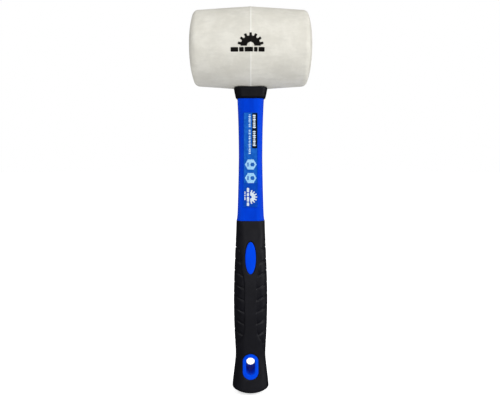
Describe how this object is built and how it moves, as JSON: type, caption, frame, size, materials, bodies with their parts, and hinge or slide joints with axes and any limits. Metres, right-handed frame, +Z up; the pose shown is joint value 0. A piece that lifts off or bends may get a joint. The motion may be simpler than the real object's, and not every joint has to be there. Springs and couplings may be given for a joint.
{
  "type": "rubber mallet",
  "caption": "Rubber mallet with a white barrel head, a black neck collar, a blue jacketed fibreglass handle and a black soft grip with an oval inlay and a hang hole.",
  "frame": {"origin": "under the handle's axis, level with the lowest point of the butt", "axes": "+Z runs up the handle from the butt to the head, X is the striking direction, -Y is the front, which carries the label and the printed mark"},
  "size_m": [0.1016, 0.069, 0.3326],
  "materials": {
    "head_rubber": "matte off-white vulcanised rubber",
    "collar_rubber": "matte black thermoplastic rubber",
    "jacket_plastic": "satin blue polypropylene",
    "rod_fibreglass": "pultruded glass fibre, cut end",
    "epoxy": "dark cured resin",
    "grip_rubber": "matte black thermoplastic rubber, fine texture",
    "inlay_plastic": "satin blue, slightly domed",
    "eyelet_plastic": "satin blue polypropylene",
    "label_film": "printed film under a thin clear laminate",
    "print_ink": "pad printed black ink"
  },
  "bodies": {
    "root": {"rubber_head": "head_rubber", "neck_collar": "collar_rubber", "handle_jacket": "jacket_plastic", "fibreglass_core": "rod_fibreglass", "eye_epoxy": "epoxy", "grip_sleeve": "grip_rubber", "thumb_inlay_front": "inlay_plastic", "thumb_inlay_back": "inlay_plastic", "hang_eyelet": "eyelet_plastic", "label_front": "label_film", "head_mark": "print_ink"}
  },
  "joints": []
}
